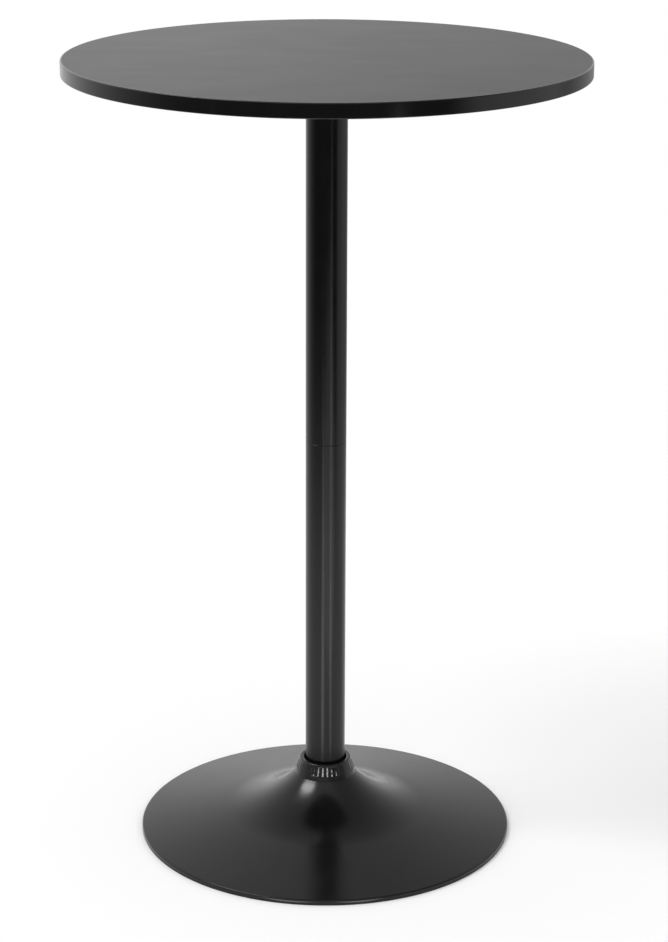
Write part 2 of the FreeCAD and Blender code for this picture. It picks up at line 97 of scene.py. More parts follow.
@dataclass(frozen=True)
class Grain:
    """A noise: features per metre, octaves, and how many times finer it is along X, Y and Z."""

    scale: float
    detail: float = 2.0
    stretch: Optional[Stretch] = None


@dataclass(frozen=True)
class Relief:
    """Fine relief: its noise, how much of it shows, and its height in metres."""

    grain: Grain
    strength: float
    depth: float


class NodeGraph:
    """A node tree, with short ways to add the nodes that the finishes and the studio share."""

    def __init__(self, tree: bpy.types.NodeTree) -> None:
        """Start from an empty tree."""
        self.tree = tree
        self.tree.nodes.clear()

    def add(self, kind: str, feeds: Optional[Mapping[str, Feed]] = None) -> bpy.types.Node:
        """Add a node of a kind.

        Args:
            kind: The node's type name.
            feeds: What its inputs get, by their names.

        Returns:
            The new node.
        """
        node = self.tree.nodes.new(kind)
        for name, source in (feeds or {}).items():
            self.feed(node.inputs[name], source)
        return node

    def feed(self, target: Socket, source: Feed) -> None:
        """Lead a socket into an input, or set the input to a constant.

        Args:
            target: The input.
            source: The socket or the constant.
        """
        if isinstance(source, Socket):
            self.tree.links.new(source, target)
        else:
            target.default_value = source

    def ranged(self, value: Socket, span: Span, low: float = 0.0, high: float = 1.0) -> Socket:
        """A level that moves smoothly from low to high while a value crosses a span.

        Args:
            value: The value to follow.
            span: Where the move starts and where it ends.
            low: The level at and before the start.
            high: The level at and past the end.

        Returns:
            The level.
        """
        feeds = {"Value": value, "From Min": span[0], "From Max": span[1], "To Min": low, "To Max": high}
        node = self.add("ShaderNodeMapRange", feeds)
        node.interpolation_type = "SMOOTHSTEP"
        return node.outputs["Result"]

    def joined(self, operation: str, first: Socket, second: Socket) -> Socket:
        """Two varying values put together.

        Args:
            operation: The arithmetic operation's name.
            first: The left value.
            second: The right value.

        Returns:
            The result.
        """
        node = self.add("ShaderNodeMath")
        node.operation = operation
        self.feed(node.inputs[0], first)
        self.feed(node.inputs[1], second)
        return node.outputs["Value"]

    def blended(self, factor: Socket, first: Feed, second: Feed) -> Socket:
        """A value that moves from the first to the second one as the factor goes from 0 to 1."""
        return self.add("ShaderNodeMix", {"Factor": factor, "A": first, "B": second}).outputs["Result"]


class SurfaceGraph(NodeGraph):
    """A material's node tree, which ends in one principled shader."""

    def __init__(self, name: str) -> None:
        """Start a material.

        Args:
            name: The material's name.
        """
        self.material = bpy.data.materials.new(name)
        self.material.use_nodes = True
        super().__init__(self.material.node_tree)
        self.shader = self.add("ShaderNodeBsdfPrincipled")
        self.add("ShaderNodeOutputMaterial", {"Surface": self.shader.outputs["BSDF"]})
        self.place = self.add("ShaderNodeTexCoord").outputs["Object"]

    def put(self, name: str, source: Feed) -> None:
        """Feed one of the shader's own inputs."""
        self.feed(self.shader.inputs[name], source)

    def reach(self) -> Socket:
        """The distance from the object's origin.

        Returns:
            The distance in metres.
        """
        node = self.add("ShaderNodeVectorMath")
        node.operation = "LENGTH"
        self.feed(node.inputs[0], self.place)
        return node.outputs["Value"]

    def noise(self, grain: Grain) -> Socket:
        """Soft random variation.

        Args:
            grain: The noise's fineness.

        Returns:
            The noise's factor, mostly between 0.3 and 0.7.
        """
        place = self.place
        if grain.stretch is not None:
            feeds = {"Scale": grain.stretch, "Vector": self.place}
            place = self.add("ShaderNodeMapping", feeds).outputs["Vector"]
        feeds = {"Scale": grain.scale, "Detail": grain.detail, "Vector": place}
        return self.add("ShaderNodeTexNoise", feeds).outputs["Fac"]

    def stored(self, layer: str) -> Socket:
        """A value that the mesh carries on its points.

        Args:
            layer: The value's name on the mesh.

        Returns:
            The value, 0 on a mesh without it.
        """
        node = self.add("ShaderNodeAttribute")
        node.attribute_name = layer
        return node.outputs["Fac"]

    def worn_edges(self, span: Span) -> Socket:
        """A factor from 0 on flat stretches to 1 on convex edges, as pointiness crosses a span."""
        return self.ranged(self.add("ShaderNodeNewGeometry").outputs["Pointiness"], span)

    def tinted(self, factor: Socket, dark: Union[Socket, Colour], light: Colour) -> Socket:
        """A colour that moves between two shades.

        Args:
            factor: 0 for the dark shade, 1 for the light one.
            dark: First shade, which may vary itself.
            light: Second shade.

        Returns:
            The mixed colour.
        """
        node = self.add("ShaderNodeMix")
        node.data_type = "RGBA"
        first, second = (socket for socket in node.inputs if socket.type == "RGBA")
        self.feed(node.inputs["Factor"], factor)
        self.feed(first, dark if isinstance(dark, Socket) else (*dark, 1.0))
        self.feed(second, (*light, 1.0))
        return next(socket for socket in node.outputs if socket.type == "RGBA")

    def bump(self, relief: Relief, below: Optional[Socket] = None) -> Socket:
        """Relief on the surface.

        Args:
            relief: The relief to raise.
            below: A coarser relief that this one lies on.

        Returns:
            The bent normal.
        """
        feeds = {"Height": self.noise(relief.grain), "Strength": relief.strength, "Distance": relief.depth}
        node = self.add("ShaderNodeBump", feeds)
        if below is not None:
            self.feed(node.inputs["Normal"], below)
        return node.outputs["Normal"]


@dataclass(frozen=True)
class Finish:
    """A surface finish, made once as a procedural material and shared by pieces."""

    name: str
    slot: Slot
    dark: Colour
    light: Colour
    rough: Span
    ior: float = 1.5

    def material(self) -> bpy.types.Material:
        """The finish's material, made on first use.

        Returns:
            The shared material.
        """
        known = bpy.data.materials.get(self.name)
        if known is not None:
            return known
        graph = SurfaceGraph(self.name)
        graph.put("IOR", self.ior)
        self.paint(graph)
        return graph.material

    def paint(self, graph: SurfaceGraph) -> None:
        """Fill in the finish's nodes in a graph that only has its shader."""
        raise NotImplementedError

    def shade(self, graph: SurfaceGraph, factor: Socket) -> None:
        """Let the colour follow a factor from the dark shade to the light one."""
        graph.put("Base Color", graph.tinted(factor, self.dark, self.light))

    def roughen(self, graph: SurfaceGraph, source: Socket, span: Span = WIDE_NOISE) -> None:
        """Let the roughness follow a source that crosses a span."""
        graph.put("Roughness", graph.ranged(source, span, *self.rough))


@dataclass(frozen=True)
class PowderCoat(Finish):
    """Satin black powder coat with orange peel, and a rub of bare sheen along its edges."""

    drift: Grain = Grain(9.0, 3.0)
    drift_share: float = 0.7
    wear: Span = (0.53, 0.62)
    sheen: Grain = Grain(34.0, 4.0)
    sheen_span: Span = (0.32, 0.68)
    peel: Relief = Relief(Grain(1100.0, 1.5), 0.35, 0.012 * MM)
    ior: float = 1.42

    def paint(self, graph: SurfaceGraph) -> None:
        """Shade drift, fine peel and rubbed edges.

        Args:
            graph: The material's nodes.
        """
        drift = graph.ranged(graph.noise(self.drift), MID_NOISE, high=self.drift_share)
        self.shade(graph, graph.joined("MAXIMUM", drift, graph.worn_edges(self.wear)))
        self.roughen(graph, graph.noise(self.sheen), self.sheen_span)
        graph.put("Normal", graph.bump(self.peel))


@dataclass(frozen=True)
class Laminate(Finish):
    """Satin melamine laminate: a fine pressed pearl texture with wiped, slightly uneven sheen."""

    drift: Grain = Grain(5.0, 4.0)
    wipes: Grain = Grain(9.0, 4.0, (1.0, 2.0, 1.0))
    pearl: Relief = Relief(Grain(1500.0), 0.3, 0.02 * MM)
    ior: float = 1.11

    def paint(self, graph: SurfaceGraph) -> None:
        """Pearl relief, faint wipe marks and a slow drift of shade.

        Args:
            graph: The material's nodes.
        """
        self.shade(graph, graph.ranged(graph.noise(self.drift), MID_NOISE))
        self.roughen(graph, graph.noise(self.wipes))
        graph.put("Normal", graph.bump(self.pearl))


@dataclass(frozen=True)
class EdgeStrip(Finish):
    """Extruded edge strip: faint draw lines along its length and corners polished by handling."""

    drift: Grain = Grain(7.0, 3.0)
    drift_share: float = 0.5
    wear: Span = (0.52, 0.58)
    sheen: Grain = Grain(26.0, 3.0)
    lines: Relief = Relief(Grain(900.0, 1.0, (0.02, 0.02, 1.0)), 0.12, 0.02 * MM)
    pebble: Relief = Relief(Grain(1300.0), 0.2, 0.015 * MM)

    def paint(self, graph: SurfaceGraph) -> None:
        """Draw lines round the rim, uneven sheen and polished corners.

        Args:
            graph: The material's nodes.
        """
        drift = graph.ranged(graph.noise(self.drift), MID_NOISE, high=self.drift_share)
        self.shade(graph, graph.joined("MAXIMUM", drift, graph.worn_edges(self.wear)))
        self.roughen(graph, graph.noise(self.sheen))
        graph.put("Normal", graph.bump(self.pebble, graph.bump(self.lines)))


@dataclass(frozen=True)
class Moulding(Finish):
    """Glossy moulded plastic with slight sink marks and hairline scuffs, and painted glints along its ribs.
    """

    # Painted glint: a bright metallic colour on the rib crests that stands in for glints of light.
    painted_glint_colour: Colour = (0.93, 0.93, 0.94)
    crest_span: Span = (0.3, 0.6)
    drift: Grain = Grain(60.0, 3.0)
    drift_span: Span = (0.4, 0.7)
    patches: Grain = Grain(200.0)
    patch_span: Span = (0.36, 0.62)
    scuffs: Grain = Grain(420.0, 4.0, (1.0, 1.0, 0.12))
    scuff_span: Span = (0.35, 0.7)
    sinks: Relief = Relief(Grain(140.0), 0.15, 0.05 * MM)
    ior: float = 1.47

    def paint(self, graph: SurfaceGraph) -> None:
        """Sink marks, fine scuffs, a drift of shade and patchy painted glints on the crests of the ribs.

        Args:
            graph: The material's nodes.
        """
        drift = graph.ranged(graph.noise(self.drift), self.drift_span)
        plastic = graph.tinted(drift, self.dark, self.light)
        # Painted glint: patches of the rib crests turn bright and metallic, standing in for glints of light.
        crests = graph.ranged(graph.stored(PAINTED_GLINT_LAYER), self.crest_span)
        patches = graph.ranged(graph.noise(self.patches), self.patch_span)
        painted_glint = graph.joined("MULTIPLY", crests, patches)
        graph.put("Base Color", graph.tinted(painted_glint, plastic, self.painted_glint_colour))
        graph.put("Metallic", painted_glint)
        self.roughen(graph, graph.noise(self.scuffs), self.scuff_span)
        graph.put("Normal", graph.bump(self.sinks))


@dataclass(frozen=True)
class SoftRing(Finish):
    """Matt soft plastic with a fine grain and floor dust rubbed into it."""

    dust: Grain = Grain(90.0, 5.0)
    dust_span: Span = (0.45, 0.72)
    sheen: Grain = Grain(200.0, 3.0)
    texture: Relief = Relief(Grain(1800.0), 0.4, 0.04 * MM)

    def paint(self, graph: SurfaceGraph) -> None:
        """Grain and dust.

        Args:
            graph: The material's nodes.
        """
        self.shade(graph, graph.ranged(graph.noise(self.dust), self.dust_span))
        self.roughen(graph, graph.noise(self.sheen))
        graph.put("Normal", graph.bump(self.texture))


@dataclass(frozen=True)
class PlatedSteel(Finish):
    """Zinc-plated or turned steel: drawn grain, dull patches and brighter edges."""

    drawn: Relief = Relief(Grain(900.0, 3.0, (1.0, 1.0, 0.15)), 0.15, 0.02 * MM)
    patches: Grain = Grain(160.0, 4.0)
    patch_span: Span = (0.35, 0.68)
    patch_share: float = 0.8
    wear: Span = (0.52, 0.6)

    def paint(self, graph: SurfaceGraph) -> None:
        """Drawn grain, patchy plating and bright corners.

        Args:
            graph: The material's nodes.
        """
        patches = graph.ranged(graph.noise(self.patches), self.patch_span, high=self.patch_share)
        self.shade(graph, graph.joined("MAXIMUM", patches, graph.worn_edges(self.wear)))
        self.roughen(graph, graph.noise(self.drawn.grain))
        graph.put("Normal", graph.bump(self.drawn))
        graph.put("Metallic", 1.0)


@dataclass(frozen=True)
class Fibreboard(Finish):
    """Raw fibreboard: short pressed fibres in brown flecks."""

    flecks: Relief = Relief(Grain(850.0, 4.0, (1.0, 1.0, 3.0)), 0.4, 0.05 * MM)
    sheen: Grain = Grain(300.0)

    def paint(self, graph: SurfaceGraph) -> None:
        """Fibre flecks with a dry, even surface.

        Args:
            graph: The material's nodes.
        """
        self.shade(graph, graph.ranged(graph.noise(self.flecks.grain), MID_NOISE))
        self.roughen(graph, graph.noise(self.sheen))
        graph.put("Normal", graph.bump(self.flecks))


POWDER_COAT = PowderCoat(
    "satin_black_powder_coat",
    Slot.POWDER_COAT,
    dark=(0.0022, 0.0022, 0.0023),
    light=(0.0038, 0.0038, 0.0039),
    rough=(0.18, 0.22),
)
LAMINATE = Laminate(
    "satin_black_laminate",
    Slot.LAMINATE,
    dark=(0.009, 0.009, 0.009),
    light=(0.011, 0.011, 0.011),
    rough=(0.23, 0.245),
)
EDGE_STRIP = EdgeStrip(
    "black_edge_strip",
    Slot.EDGE_BAND,
    dark=(0.0025, 0.0025, 0.0025),
    light=(0.005, 0.005, 0.005),
    rough=(0.17, 0.21),
)
GLOSS_MOULDING = Moulding(
    "gloss_black_moulding",
    Slot.GLOSS_PLASTIC,
    dark=(0.003, 0.003, 0.003),
    light=(0.006, 0.006, 0.006),
    rough=(0.09, 0.15),
)
SOFT_RING = SoftRing(
    "soft_black_ring",
    Slot.FLOOR_RING,
    dark=(0.008, 0.008, 0.008),
    light=(0.03, 0.03, 0.029),
    rough=(0.55, 0.7),
)
ZINC_PLATE = PlatedSteel(
    "bright_zinc_plate",
    Slot.ZINC,
    dark=(0.42, 0.43, 0.45),
    light=(0.66, 0.67, 0.7),
    rough=(0.26, 0.42),
)
TURNED_STEEL = PlatedSteel(
    "oiled_turned_steel",
    Slot.TURNED_STEEL,
    dark=(0.3, 0.3, 0.3),
    light=(0.5, 0.5, 0.5),
    rough=(0.22, 0.36),
    drawn=Relief(Grain(900.0, 3.0, (0.1, 0.1, 1.0)), 0.15, 0.02 * MM),
)
FIBREBOARD = Fibreboard(
    "raw_fibreboard",
    Slot.FIBREBOARD,
    dark=(0.2, 0.13, 0.075),
    light=(0.42, 0.31, 0.2),
    rough=(0.8, 0.95),
)


@dataclass(frozen=True)
class NodeSize:
    """What a CAD node measures about the table's axis."""

    bore: float
    radius: float
    low: float
    high: float

    @classmethod
    def of(cls, node: str) -> "NodeSize":
        """Measure a node of the frame.

        Args:
            node: The node's name.

        Returns:
            Its radii and heights.
        """
        corners = [vertex.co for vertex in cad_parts[node].data.vertices]
        reaches = [math.hypot(corner.x, corner.y) for corner in corners]
        heights = [corner.z for corner in corners]
        return cls(min(reaches), max(reaches), min(heights), max(heights))

    @property
    def height(self) -> float:
        """The node's height."""
        return self.high - self.low


class Outline:
    """A closed section of a turned piece, drawn point by point from its inner foot."""

    corner_steps: int = 3
    sharp_turn: float = math.radians(20)
    most_of_side: float = 0.45

    def __init__(self, radius: float, height: float) -> None:
        """Start at a point, by its distance from the axis and its height."""
        self.points: list[Point] = [(radius, height)]

    def line(self, radius: float, height: float, steps: int = 1) -> "Outline":
        """Go straight to a point.

        Args:
            radius: Distance of the point from the axis.
            height: Height of the point.
            steps: Number of stretches that the line is divided into.

        Returns:
            The outline itself.
        """
        from_radius, from_height = self.points[-1]
        for step in range(1, steps + 1):
            share = step / steps
            across = from_radius + (radius - from_radius) * share
            self.points.append((across, from_height + (height - from_height) * share))
        return self

    def arc(self, radius: float, height: float, bend: float, turn: Turn, steps: int) -> "Outline":
        """Go round an arc to a point.

        Args:
            radius: Distance of the point from the axis.
            height: Height of the point.
            bend: The arc's radius.
            turn: Which way the arc bends.
            steps: Number of stretches that the arc is divided into.

        Returns:
            The outline itself.
        """
        first = Vector(self.points[-1])
        last = Vector((radius, height))
        chord = last - first
        sideways = Vector((-chord.y, chord.x)).normalized() * turn.value
        middle = (first + last) / 2 + sideways * math.sqrt(max(bend**2 - (chord.length / 2) ** 2, 0.0))
        begin = math.atan2(first.y - middle.y, first.x - middle.x)
        sweep = 2 * math.asin(min(chord.length / (2 * bend), 1.0)) * turn.value
        for step in range(1, steps + 1):
            angle = begin + sweep * step / steps
            self.points.append((middle.x + bend * math.cos(angle), middle.y + bend * math.sin(angle)))
        return self

    def softened(self, rounding: float) -> "Outline":
        """Round every sharp corner a little, as a deburred or moulded edge is.

        Args:
            rounding: The length that a corner takes up on each side.

        Returns:
            A new outline.
        """
        count = len(self.points)
        result: list[Point] = []
        for index in range(count):
            before, here, after = (Vector(self.points[(index + shift) % count]) for shift in (-1, 0, 1))
            inward = before - here
            outward = after - here
            turn = math.pi - inward.angle(outward)
            on_axis = here.x < TOLERANCE
            if turn < self.sharp_turn or on_axis:
                result.append(tuple(here))
                continue
            reach = min(rounding, inward.length * self.most_of_side, outward.length * self.most_of_side)
            start = here + inward.normalized() * reach
            finish = here + outward.normalized() * reach
            for step in range(self.corner_steps + 1):
                share = step / self.corner_steps
                curve = start * (1 - share) ** 2 + here * 2 * share * (1 - share) + finish * share**2
                result.append(tuple(curve))
        softer = Outline(*result[0])
        softer.points = result
        return softer


def turn_angles(count: int) -> list[float]:
    """Evenly spaced angles round a full turn."""
    return [FULL_TURN * step / count for step in range(count)]


def turned_place(radius: float, angle: float, height: float) -> Place:
    """A place at a distance, an angle and a height about the table's axis."""
    return radius * math.cos(angle), radius * math.sin(angle), height


def skin(maker: bmesh.types.BMesh, rings: Sequence[Sequence[bmesh.types.BMVert]], columns: int) -> None:
    """Lay faces from each ring of points to the one before it, and from the first to the last.

    Args:
        maker: The mesh under construction.
        rings: The rings in order round the section, with equally many points.
        columns: The number of faces between two rings.
    """
    for index, ring in enumerate(rings):
        previous = rings[index - 1]
        for column in range(columns):
            following = (column + 1) % len(ring)
            corners = dict.fromkeys((previous[column], previous[following], ring[following], ring[column]))
            if len(corners) > 2:
                maker.faces.new(list(corners))


@dataclass(frozen=True)
class Lathe:
    """Turns an outline about the table's axis into a closed mesh."""

    outline: Outline
    segments: int
    sweep: float = FULL_TURN
    start: float = 0.0

    def piece(self, name: str) -> bpy.types.Object:
        """Make the turned piece.

        Args:
            name: The piece's name.

        Returns:
            The new object.
        """
        maker = bmesh.new()
        closed = math.isclose(self.sweep, FULL_TURN)
        columns = self.segments if closed else self.segments + 1
        angles = [self.start + self.sweep * column / self.segments for column in range(columns)]
        rings = []
        for radius, height in self.outline.points:
            if radius < TOLERANCE:
                rings.append([maker.verts.new((0.0, 0.0, height))] * columns)
                continue
            rings.append([maker.verts.new(turned_place(radius, angle, height)) for angle in angles])
        skin(maker, rings, self.segments)
        if not closed:
            maker.faces.new([ring[0] for ring in rings])
            maker.faces.new([ring[-1] for ring in reversed(rings)])
        return finished_object(name, maker)


def finished_object(name: str, maker: bmesh.types.BMesh) -> bpy.types.Object:
    """Turn a mesh under construction into a smooth-shaded object.

    Args:
        name: The object's name.
        maker: The mesh, which is used up.

    Returns:
        The object, linked into the scene.
    """
    bmesh.ops.recalc_face_normals(maker, faces=maker.faces)
    mesh = bpy.data.meshes.new(name)
    maker.to_mesh(mesh)
    maker.free()
    mesh.shade_smooth()
    mesh.set_sharp_from_angle(angle=CREASE_ANGLE)
    piece = bpy.data.objects.new(name, mesh)
    bpy.context.scene.collection.objects.link(piece)
    weights = piece.modifiers.new("even_normals", "WEIGHTED_NORMAL")
    weights.keep_sharp = True
    return piece


def dress(piece: bpy.types.Object, body: Body, finish: Finish, *nodes: str) -> None:
    """Give a new piece its finish and body, in place of CAD nodes.

    Args:
        piece: The new piece.
        body: The body that it rides on.
        finish: Its surface finish.
        nodes: The CAD nodes that it stands for.
    """
    piece.data.materials.append(finish.material())
    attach(piece, body.value)
    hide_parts(*nodes)
    log.info("%s stands for %s in %s", piece.name, ", ".join(nodes), finish.name)


def dress_nodes(finish: Finish, *nodes: str) -> None:
    """Give CAD nodes that stay in view their finish.

    Args:
        finish: Their surface finish.
        nodes: The nodes' names.
    """
    for node in nodes:
        for material_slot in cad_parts[node].material_slots:
            material_slot.material = finish.material()
        log.info("%s keeps its CAD shape in %s", node, finish.name)


@dataclass
class Tabletop:
    """The laminated board with its edge strip."""

    band_rounding: float = 1.4 * MM
    seam_width: float = 0.4 * MM
    seam_angle: float = math.radians(-113.0)
    face_rounding: float = 0.25 * MM
    corner_steps: int = 8
    segments: int = 360

    def build(self) -> None:
        """Make the face and the edge strip, and dress the hidden board."""
        self.build_face()
        self.build_band()
        dress_nodes(LAMINATE, "underside_laminate")
        dress_nodes(FIBREBOARD, "tabletop_core")
        dress_nodes(ZINC_PLATE, "threaded_inserts")

    def build_face(self) -> None:
        """The satin face, a thin disc with a broken edge."""
        size = NodeSize.of("tabletop_laminate")
        outline = Outline(0.0, size.low).line(size.radius, size.low)
        outline.line(size.radius, size.high).line(0.0, size.high)
        face = Lathe(outline.softened(self.face_rounding), self.segments).piece("laminate_face")
        dress(face, Body.TABLE, LAMINATE, "tabletop_laminate")

    def build_band(self) -> None:
        """The edge strip, bent round the board until its ends nearly meet."""
        size = NodeSize.of("edge_band")
        rounding = self.band_rounding
        outline = Outline(size.bore, size.low).line(size.radius - rounding, size.low)
        outline.arc(size.radius, size.low + rounding, rounding, Turn.LEFT, self.corner_steps)
        outline.line(size.radius, size.high - rounding)
        outline.arc(size.radius - rounding, size.high, rounding, Turn.LEFT, self.corner_steps)
        outline.line(size.bore, size.high)
        gap = self.seam_width / size.radius
        lathe = Lathe(outline, self.segments, FULL_TURN - gap, self.seam_angle + gap / 2)
        dress(lathe.piece("edge_strip"), Body.TABLE, EDGE_STRIP, "edge_band")


@dataclass
class Mounting:
    """The plate under the top with its weld and bolts."""

    ripples: int = 58
    ripple_depth: float = 0.35 * MM
    ripple_lag: float = 0.35
    bead_bulge: float = 0.16
    bead_rows: int = 10
    diagonal: float = 0.7
    segments: int = 696

    def build(self) -> None:
        """Make the rippled weld and dress the plate and its fasteners."""
        self.build_weld()
        dress_nodes(POWDER_COAT, "mounting_plate")
        dress_nodes(ZINC_PLATE, "mounting_bolts", "mounting_bolt_washers", "mounting_bolt_spring_washers")

    def build_weld(self) -> None:
        """A weld bead of overlapping ripples in the corner of tube and plate."""
        size = NodeSize.of("mounting_plate_weld")
        maker = bmesh.new()
        angles = turn_angles(self.segments)
        rings = []
        for row in range(self.bead_rows + 1):
            slant = QUARTER_TURN * row / self.bead_rows
            arch = math.sin(2 * slant)
            out, up = self.bead_reach(size.height, slant)
            ring = []
            for angle in angles:
                phase = (angle / FULL_TURN * self.ripples + self.ripple_lag * arch) % 1.0
                swell = arch * self.ripple_depth * (abs(math.sin(math.pi * phase)) - 1.0)
                outwards = swell * self.diagonal
                place = turned_place(size.bore + out + outwards, angle, size.low + up - outwards)
                ring.append(maker.verts.new(place))
            rings.append(ring)
        rings.append([maker.verts.new(turned_place(size.bore, angle, size.high)) for angle in angles])
        skin(maker, rings, self.segments)
        dress(finished_object("rippled_weld", maker), Body.TABLE, POWDER_COAT, "mounting_plate_weld")

    def bead_reach(self, leg: float, slant: float) -> Point:
        """A point of the bead's rounded face.

        Args:
            leg: The weld's leg length.
            slant: 0 at the tube, a quarter turn at the plate.

        Returns:
            Distance from the tube and height above the bead's foot.
        """
        straight = leg * slant / QUARTER_TURN
        bulge = self.bead_bulge * leg * math.sin(2 * slant) * self.diagonal
        return straight + bulge, straight - bulge


@dataclass
class Column:
    """The two tubes of the column and the screwed joint inside them."""

    seam_chamfer: float = 0.4 * MM
    edge_rounding: float = 0.15 * MM
    segments: int = 160

    def build(self) -> None:
        """Make both tubes and dress the pieces inside."""
        lower = NodeSize.of("lower_column")
        upper = NodeSize.of("upper_column")
        foot = Outline(lower.bore, lower.low).line(lower.radius, lower.low)
        foot.line(lower.radius, lower.high - self.seam_chamfer)
        foot.line(lower.radius - self.seam_chamfer, lower.high).line(lower.bore, lower.high)
        head = Outline(upper.bore, upper.low).line(upper.radius - self.seam_chamfer, upper.low)
        head.line(upper.radius, upper.low + self.seam_chamfer)
        head.line(upper.radius, upper.high).line(upper.bore, upper.high)
        self.build_tube("lower_tube", foot, "lower_column")
        self.build_tube("upper_tube", head, "upper_column")
        dress_nodes(TURNED_STEEL, "column_spigot", "column_socket", "column_foot_plug")

    def build_tube(self, name: str, outline: Outline, node: str) -> None:
        """Turn a tube from its section and dress it in its node's place."""
        tube = Lathe(outline.softened(self.edge_rounding), self.segments).piece(name)
        dress(tube, Body.TABLE, POWDER_COAT, node)


@dataclass
class Base:
    """The spun dish with its floor ring and the bolt that holds the column down."""

    sheet: float = 1.5 * MM
    rim_rounding: float = 2.2 * MM
    hem_depth: float = 3.4 * MM
    cone_angle: float = math.radians(10)
    flare_radius: float = 129.0 * MM
    neck_radius: float = 38.5 * MM
    seat_clearance: float = 0.5 * MM
    seat_depth: float = 9.5 * MM
    edge_rounding: float = 0.3 * MM
    ring_clearance: float = 0.05 * MM
    ring_leg: float = 2.0 * MM
    ring_rounding: float = 0.25 * MM
    flare_steps: int = 48
    cone_steps: int = 6
    rim_steps: int = 14
    inner_rim_steps: int = 8
    inner_flare_steps: int = 24
    segments: int = 288

    def build(self) -> None:
        """Make the dish and the ring, and dress the bolt and washers."""
        dish = Lathe(self.dish_outline(), self.segments).piece("spun_dish")
        dress(dish, Body.TABLE, POWDER_COAT, "base_dish")
        ring = Lathe(self.ring_outline(), self.segments).piece("soft_floor_ring")
        dress(ring, Body.TABLE, SOFT_RING, "floor_ring")
        dress_nodes(ZINC_PLATE, "base_bolt", "base_clamp_washer", "base_spring_washer")

    def dish_outline(self) -> Outline:
        """The section of the pressed and spun sheet.

        Returns:
            The closed outline, from the bolt hole out to the rim and back under.
        """
        size = NodeSize.of("base_dish")
        tube = NodeSize.of("lower_column")
        slope = Vector((math.sin(self.cone_angle), math.cos(self.cone_angle)))
        rim_middle = Vector((size.radius - self.rim_rounding, size.low + self.hem_depth))
        rim_top = rim_middle + slope * self.rim_rounding
        rise = (rim_top.x - self.flare_radius) * math.tan(self.cone_angle)
        flare_start = Vector((self.flare_radius, rim_top.y + rise))
        neck = Vector((self.neck_radius, size.high))
        reach = neck - flare_start
        flare = reach.length_squared / (2 * reach.dot(slope))
        flare_middle = flare_start + slope * flare
        under_neck = size.high - self.sheet
        drop = flare_middle.y - under_neck
        inner_flare = flare + self.sheet
        inner_neck = flare_middle.x - math.sqrt(inner_flare**2 - drop**2)
        inner_start = flare_start - slope * self.sheet
        inner_rounding = self.rim_rounding - self.sheet
        inner_rim = rim_middle + slope * inner_rounding
        seat = size.high - self.seat_depth
        seat_radius = tube.radius + self.seat_clearance
        seat_wall = seat_radius + self.sheet

        outline = Outline(size.bore, seat).line(seat_radius, seat).line(seat_radius, size.high)
        outline.line(neck.x, neck.y).arc(flare_start.x, flare_start.y, flare, Turn.LEFT, self.flare_steps)
        outline.line(rim_top.x, rim_top.y, self.cone_steps)
        outline.arc(size.radius, rim_middle.y, self.rim_rounding, Turn.RIGHT, self.rim_steps)
        outline.line(size.radius, size.low).line(size.radius - self.sheet, size.low)
        outline.line(size.radius - self.sheet, rim_middle.y)
        outline.arc(inner_rim.x, inner_rim.y, inner_rounding, Turn.LEFT, self.inner_rim_steps)
        outline.line(inner_start.x, inner_start.y, self.cone_steps)
        outline.arc(inner_neck, under_neck, inner_flare, Turn.RIGHT, self.inner_flare_steps)
        outline.line(seat_wall, under_neck).line(seat_wall, seat - self.sheet)
        outline.line(size.bore, seat - self.sheet)
        return outline.softened(self.edge_rounding)

    def ring_outline(self) -> Outline:
        """The section of the ring: a flat foot and a leg inside the hem.

        Returns:
            The closed outline.
        """
        size = NodeSize.of("floor_ring")
        dish = NodeSize.of("base_dish")
        leg_outer = size.radius - self.sheet - self.ring_clearance
        leg_inner = leg_outer - self.ring_leg
        outline = Outline(size.bore, size.low).line(size.radius, size.low).line(size.radius, dish.low)
        outline.line(leg_outer, dish.low).line(leg_outer, size.high).line(leg_inner, size.high)
        outline.line(leg_inner, dish.low).line(size.bore, dish.low)
        return outline.softened(self.ring_rounding)


